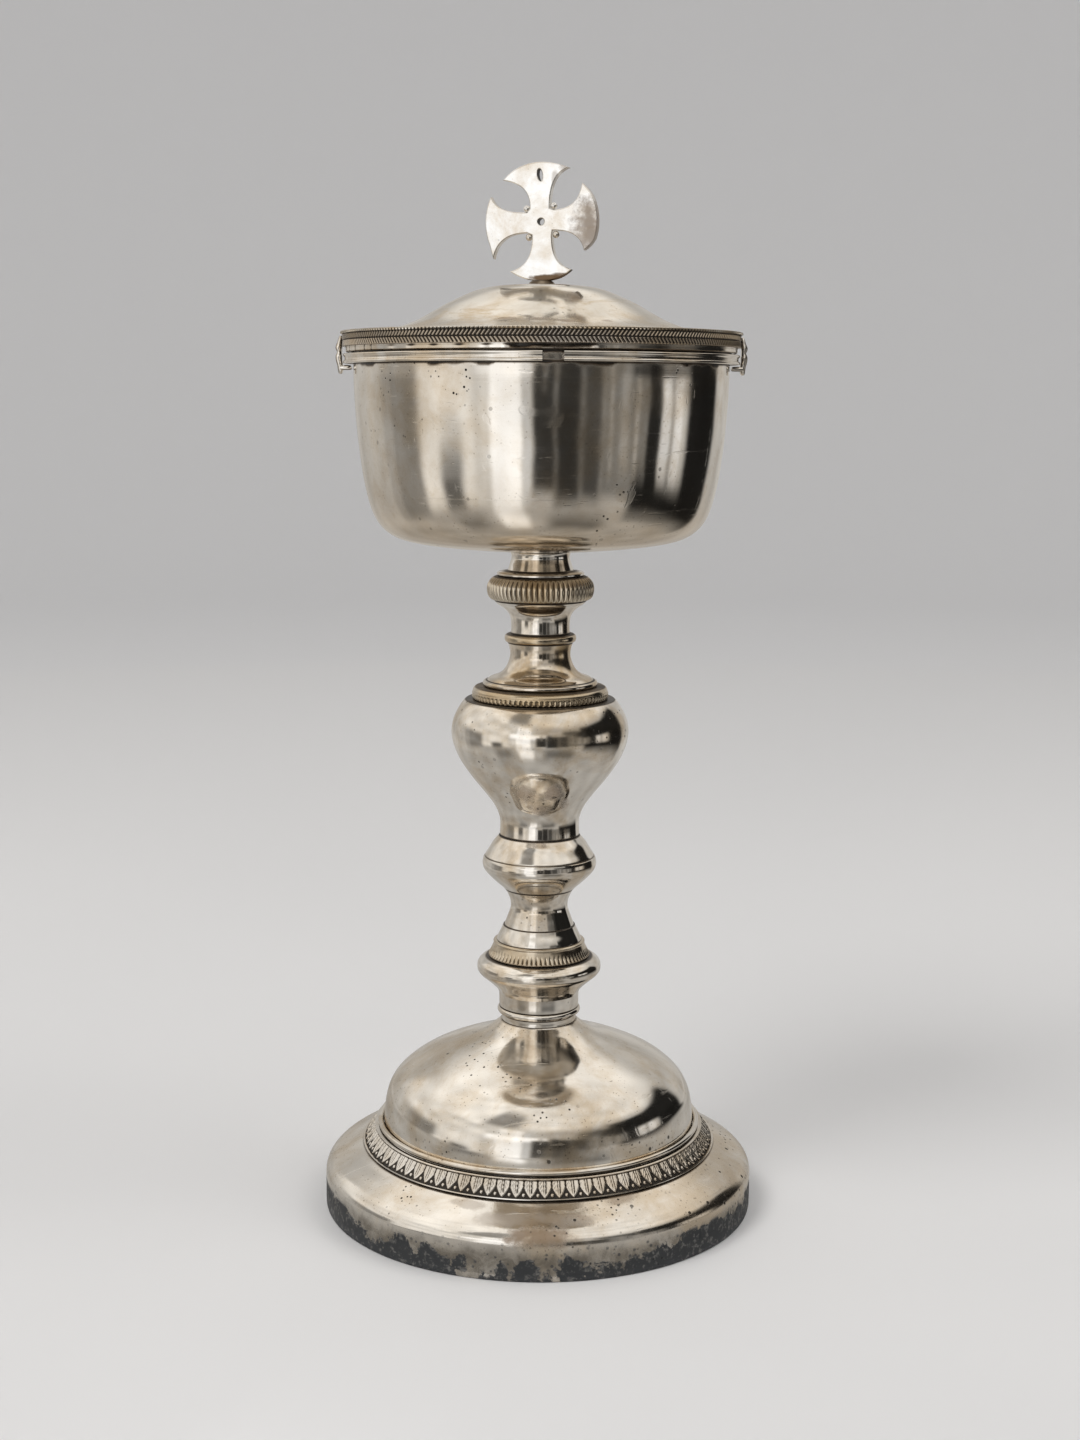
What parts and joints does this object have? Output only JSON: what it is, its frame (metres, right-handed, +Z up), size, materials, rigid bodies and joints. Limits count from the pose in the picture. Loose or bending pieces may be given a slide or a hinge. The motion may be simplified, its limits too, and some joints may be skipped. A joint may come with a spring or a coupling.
{
  "type": "lidded chalice",
  "caption": "Tall footed silver cup for the altar with a knopped stem, a domed foot and a fitted lid that locks by hooked lugs under a strap ring and carries a flared cross.",
  "frame": {"origin": "centre of the foot's rim, on the surface that the chalice stands on", "axes": "+Z up along the axis of the cup, -Y towards the viewer of the picture, with a ring gap near the front"},
  "size_m": [0.11, 0.11, 0.2616],
  "materials": {
    "polished_silver": "silver plate on brass, polished by hand, warm tarnish in the hollows, fine scratches and pits",
    "tarnished_silver": "stamped and milled silver ornament, brown tarnish in the recesses, bright on the high spots",
    "worn_edge_silver": "rubbed silver with large dark grey blotches and light patches",
    "bowl_silver": "mirror-like silver with fine level hammer and rubbing lines",
    "cross_silver": "bright flat silver plate with rubbed edges",
    "steel_fixings": "turned steel, plain",
    "brass_fixings": "turned brass, plain"
  },
  "bodies": {
    "root": {"foot_edge_band": "worn_edge_silver", "foot_apron": "polished_silver", "leaf_band": "tarnished_silver", "foot_wire": "tarnished_silver", "foot_dome": "polished_silver", "foot_neck": "polished_silver", "lower_ring_knop": "polished_silver", "lower_milled_band": "tarnished_silver", "lower_baluster": "polished_silver", "small_knop": "polished_silver", "main_knop": "polished_silver", "knop_milled_ring": "tarnished_silver", "knop_cap": "polished_silver", "upper_ring": "tarnished_silver", "upper_spool": "polished_silver", "fluted_collar": "tarnished_silver", "bowl_socket": "polished_silver", "bowl": "bowl_silver", "catch_ring_right": "polished_silver", "catch_ring_left": "polished_silver", "bowl_boss": "steel_fixings", "tie_rod": "steel_fixings", "tie_washer": "steel_fixings", "tie_nut": "steel_fixings"},
    "lid_core": {"finial_washer": "brass_fixings", "finial_nut": "brass_fixings"},
    "lid": {"lid_dome": "polished_silver", "lid_band": "polished_silver", "lid_milled_border": "tarnished_silver", "lug_right": "tarnished_silver", "lug_left": "tarnished_silver", "cross": "cross_silver", "cross_bead_upper_right": "cross_silver", "cross_bead_upper_left": "cross_silver", "cross_bead_lower_left": "cross_silver", "cross_bead_lower_right": "cross_silver", "cross_seat": "tarnished_silver", "finial_screw": "steel_fixings"}
  },
  "joints": [
    {"name": "lid_lift", "type": "slide", "parent": "root", "child": "lid_core", "axis": [0, 0, 1], "range_m": [0, 0.12]},
    {"name": "lid_turn", "type": "hinge", "parent": "lid_core", "child": "lid", "pos_m": [0, 0, 0.2305], "axis": [0, 0, 1], "range_deg": [-86.9, 93.1]}
  ]
}
